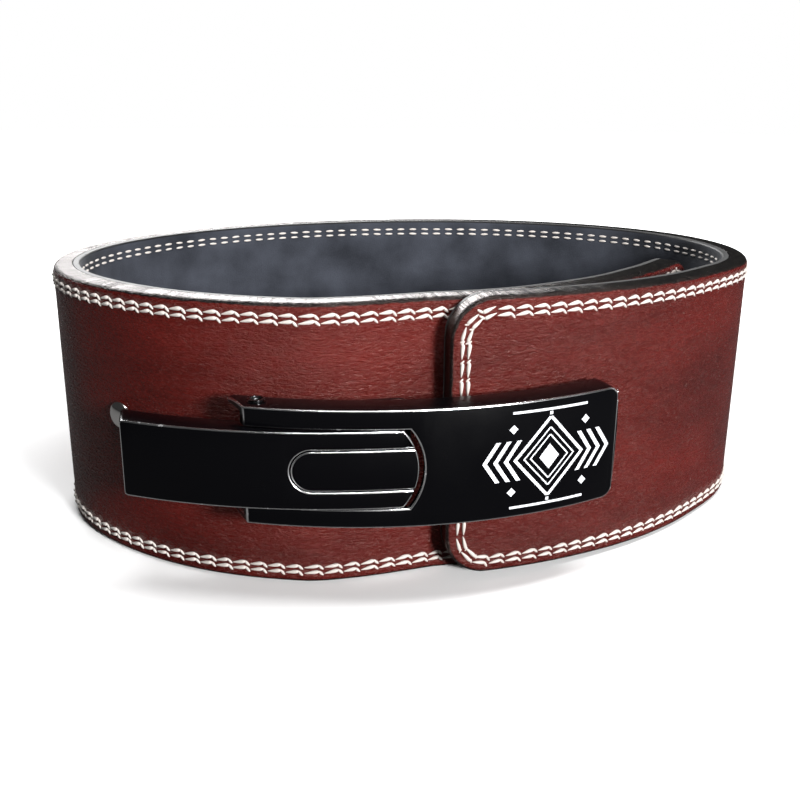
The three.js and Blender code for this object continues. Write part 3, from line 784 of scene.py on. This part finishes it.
def ornament(size):
    """The ornament laid flat, as wide as its size: lozenges, chevrons and two ruled bars."""
    bm = bmesh.new()
    lozenge(bm, (0, 0), size * 0.08, size * 0.095)
    for sign in (-1, 1):
        chevron(bm, (sign * size * 0.27, 0), sign * size * 0.27, size * 0.30, size * 0.030)
        chevron(bm, (sign * size * 0.20, 0), sign * size * 0.20, size * 0.22, size * 0.014)
        chevron(bm, (sign * size * 0.15, 0), sign * size * 0.15, size * 0.165, size * 0.014)
        for step in (0.34, 0.42, 0.50):
            chevron(bm, (sign * size * step, 0), sign * size * 0.10, size * 0.15, size * 0.034)
        bar(bm, (0, sign * size * 0.355), size * 0.30, size * 0.009)
        bar(bm, (0, sign * size * 0.325), size * 0.012, size * 0.012)
        for side in (-1, 1):
            lozenge(bm, (side * size * 0.29, sign * size * 0.235), size * 0.034, size * 0.034)
    bm.normal_update()
    turned = [f for f in bm.faces if f.normal.y > 0]
    bmesh.ops.reverse_faces(bm, faces=turned)
    return bm


def new_ink(name, color, rubbed_color, scale, share):
    """A flat print: an even ink, thinner and darker where it has rubbed away."""
    ink, tree, shader = new_finish(name, color, 0.5, Specular_IOR_Level=0.3)
    body_map = add_node(tree, "ShaderNodeTexCoord")
    wear = add_node(tree, "ShaderNodeTexNoise", None, {"Scale": scale, "Detail": 5.0, "Roughness": 0.7})
    limits = {1: share, 2: share + 0.08, 3: 0.0, 4: 1.0}
    thin = add_node(tree, "ShaderNodeMapRange", {"clamp": True}, limits)
    coat = add_node(tree, "ShaderNodeMix", {"data_type": "RGBA"}, {6: (*color, 1), 7: (*rubbed_color, 1)})
    relief = add_node(tree, "ShaderNodeBump", None, {"Strength": 0.35, "Distance": 0.0001})
    tree.links.new(body_map.outputs["Object"], wear.inputs[0])
    tree.links.new(wear.outputs[0], thin.inputs[0])
    tree.links.new(thin.outputs[0], coat.inputs[0])
    tree.links.new(coat.outputs[2], shader.inputs["Base Color"])
    tree.links.new(wear.outputs[0], relief.inputs["Height"])
    tree.links.new(relief.outputs[0], shader.inputs["Normal"])
    return ink


plate_ink = new_ink("white_ink", (0.78, 0.80, 0.83), (0.45, 0.46, 0.49), 1100.0, 0.6)
print_bm = ornament(PLATE_PRINT_SIZE)
arc_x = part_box("hook_plate")[1].x - PLATE_RIGHT + PLATE_ARC_OFFSET
for vert in print_bm.verts:
    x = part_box("hook_plate")[1].x - PLATE_RIGHT + PLATE_PRINT_X + vert.co.x
    fall = PLATE_ARC_RADIUS - math.sqrt(PLATE_ARC_RADIUS**2 - (x - arc_x) ** 2)
    vert.co = (x, PLATE_FRONT_Y + fall - PLATE_PRINT_LIFT, PLATE_PRINT_HEIGHT + vert.co.z)
plate_print = shown("plate_ornament", print_bm, plate_ink)
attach(plate_print, "hook")


# Print on the back of the strap
# The same ornament, 95 mm wide and golden yellow, printed on the oxblood face at the back.
BACK_PRINT_SIZE = 0.095
BACK_PRINT_TURN = 0.5
BACK_PRINT_LIFT = 0.00008

back_ink = new_ink("gold_ink", (0.70, 0.33, 0.03), (0.42, 0.17, 0.02), 700.0, 0.62)
print_bm = ornament(BACK_PRINT_SIZE)
turns = np.linspace(LAY[0, 0], LAY[-1, 0], len(LENGTHS))
back_length = np.interp(BACK_PRINT_TURN, turns, LENGTHS)
for vert in print_bm.verts:
    vert.co = (back_length + vert.co.x, -THICKNESS / 2 - BACK_PRINT_LIFT, STRAP_WIDTH / 2 + vert.co.z)
wrap(print_bm)
back_print = shown("back_ornament", print_bm, back_ink)
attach(back_print, "belt")


# Pins and screws
# Two steel pins with their ends spread into low dished heads, and two slotted screws
# whose flat heads sit on the suede.
PIN_RADIUS = 0.0022
PIN_HEAD_RADIUS = 0.003
PIN_HEAD_HEIGHT = 0.0005
PIN_DISH_RADIUS = 0.0019
PIN_DISH_DEPTH = 0.0009


def turned_piece(profile, place, steps=32):
    """A round piece turned about an upright line through its place."""
    bm = bmesh.new()
    corners = [bm.verts.new((radius, 0, height)) for radius, height in profile]
    edges = [bm.edges.new(pair) for pair in zip(corners, corners[1:])]
    bmesh.ops.spin(
        bm, geom=corners + edges, cent=(0, 0, 0), axis=(0, 0, 1), angle=math.tau,
        steps=steps, use_merge=True, use_duplicate=False,
    )
    bmesh.ops.remove_doubles(bm, verts=bm.verts, dist=1e-6)
    bmesh.ops.recalc_face_normals(bm, faces=bm.faces)
    bmesh.ops.translate(bm, verts=bm.verts, vec=place)
    return bm


pin_steel, tree, shader = new_finish("pin_steel", (0.10, 0.10, 0.105), 0.22, metallic=1.0)
body_map = add_node(tree, "ShaderNodeTexCoord")
turning = add_node(tree, "ShaderNodeTexNoise", None, {"Scale": 1300.0, "Detail": 3.0})
gloss = add_node(tree, "ShaderNodeMapRange", None, {1: 0.3, 2: 0.7, 3: 0.14, 4: 0.34})
tree.links.new(body_map.outputs["Object"], turning.inputs[0])
tree.links.new(turning.outputs[0], gloss.inputs[0])
tree.links.new(gloss.outputs[0], shader.inputs["Roughness"])

for pin, body in (("hinge_pin", "belt"), ("link_pin", "handle")):
    low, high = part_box(pin)
    half = (high.z - low.z) / 2
    head = (
        (0, half - PIN_DISH_DEPTH),
        (PIN_DISH_RADIUS * 0.8, half - PIN_DISH_DEPTH),
        (PIN_DISH_RADIUS, half - PIN_DISH_DEPTH * 0.6),
        (PIN_DISH_RADIUS * 1.08, half - 0.0001),
        (PIN_DISH_RADIUS * 1.2, half),
        (PIN_HEAD_RADIUS * 0.9, half - 0.00005),
        (PIN_HEAD_RADIUS, half - 0.0002),
        (PIN_HEAD_RADIUS, half - PIN_HEAD_HEIGHT),
        (PIN_RADIUS, half - PIN_HEAD_HEIGHT),
    )
    profile = head + tuple((radius, -height) for radius, height in reversed(head))
    middle = ((low.x + high.x) / 2, (low.y + high.y) / 2, (low.z + high.z) / 2)
    dished = shown(pin.replace("pin", "rivet_pin"), turned_piece(profile, middle), pin_steel)
    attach(dished, body)
    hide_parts(pin)

screw_steel, tree, shader = new_finish("plain_steel", (0.42, 0.42, 0.43), 0.32, metallic=1.0)
body_map = add_node(tree, "ShaderNodeTexCoord")
turning = add_node(tree, "ShaderNodeTexNoise", None, {"Scale": 900.0, "Detail": 2.0})
gloss = add_node(tree, "ShaderNodeMapRange", None, {1: 0.3, 2: 0.7, 3: 0.22, 4: 0.42})
tree.links.new(body_map.outputs["Object"], turning.inputs[0])
tree.links.new(turning.outputs[0], gloss.inputs[0])
tree.links.new(gloss.outputs[0], shader.inputs["Roughness"])
for screw in ("base_screw_lower", "base_screw_upper"):
    piece = shown(screw.replace("base_screw", "slotted_screw"), softened(screw, 0.00025), screw_steel)
    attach(piece, "belt")
    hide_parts(screw)


# Side rivet
# A bright nickel rivet with a low domed cap, set through the strap beside the handle's end.
RIVET_TURN = 0.8458
RIVET_HEIGHT = 0.054
RIVET_CAP_RADIUS = 0.005
RIVET_CAP_HEIGHT = 0.0022
RIVET_BACK_HEIGHT = 0.0012
RIVET_STEM_RADIUS = 0.0018
RIVET_RIM_HEIGHT = 0.0002
RIVET_SEAT_GAP = 0.0003

cap_turns = np.linspace(0, 1.45, 12)
cap = [(RIVET_CAP_RADIUS * math.sin(a), RIVET_CAP_HEIGHT * math.cos(a)) for a in cap_turns]
seat = THICKNESS / 2 + RIVET_SEAT_GAP
profile = [(radius, seat + RIVET_RIM_HEIGHT + height * 0.9) for radius, height in cap]
profile += [(RIVET_CAP_RADIUS, seat + RIVET_RIM_HEIGHT), (RIVET_CAP_RADIUS * 0.96, seat)]
profile += [(RIVET_STEM_RADIUS, seat), (RIVET_STEM_RADIUS, -seat), (RIVET_CAP_RADIUS * 0.96, -seat)]
profile += [(RIVET_CAP_RADIUS, -seat - RIVET_BACK_HEIGHT * 0.4)]
profile += [(RIVET_CAP_RADIUS * 0.9, -seat - RIVET_BACK_HEIGHT), (0, -seat - RIVET_BACK_HEIGHT)]
rivet_bm = turned_piece(profile, (0, 0, 0), 40)
bmesh.ops.rotate(rivet_bm, verts=rivet_bm.verts, matrix=Matrix.Rotation(math.radians(90), 3, "X"))
rivet_length = float(np.interp(RIVET_TURN, turns, LENGTHS))
bmesh.ops.translate(rivet_bm, verts=rivet_bm.verts, vec=(rivet_length, 0, RIVET_HEIGHT))
wrap(rivet_bm)
bmesh.ops.recalc_face_normals(rivet_bm, faces=rivet_bm.faces)

nickel, tree, shader = new_finish("bright_nickel", (0.88, 0.86, 0.84), 0.12, metallic=1.0)
body_map = add_node(tree, "ShaderNodeTexCoord")
haze = add_node(tree, "ShaderNodeTexNoise", None, {"Scale": 700.0, "Detail": 2.0})
gloss = add_node(tree, "ShaderNodeMapRange", None, {1: 0.3, 2: 0.7, 3: 0.08, 4: 0.2})
tree.links.new(body_map.outputs["Object"], haze.inputs[0])
tree.links.new(haze.outputs[0], gloss.inputs[0])
tree.links.new(gloss.outputs[0], shader.inputs["Roughness"])
rivet = shown("domed_rivet", rivet_bm, nickel)
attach(rivet, "belt")
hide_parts("side_rivet")
